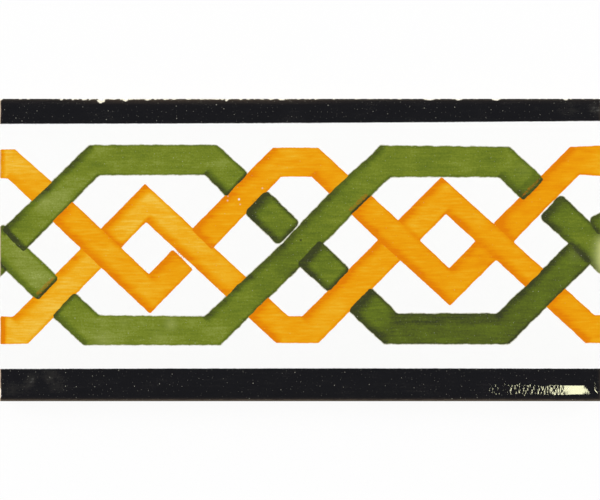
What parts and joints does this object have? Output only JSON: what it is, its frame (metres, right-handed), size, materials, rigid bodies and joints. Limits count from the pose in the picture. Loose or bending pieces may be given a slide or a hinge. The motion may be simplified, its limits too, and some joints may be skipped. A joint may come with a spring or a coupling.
{
  "type": "border tile",
  "caption": "Oblong glazed ceramic border tile with a cushioned rim and a keyed back, painted with interlaced straps between dark edge bands, for finishing a tiled wall, hearth or dado.",
  "frame": {"origin": "middle of the tile's back, on the plane of its ribs", "axes": "+X along the border, +Y across it towards the upper dark band, +Z out of the glazed face"},
  "size_m": [0.1524, 0.0762, 0.0095],
  "materials": {
    "painted_glaze": "gloss white glaze painted in green, orange and black, over a buff biscuit body"
  },
  "bodies": {
    "root": {"border_tile": "painted_glaze"}
  },
  "joints": []
}
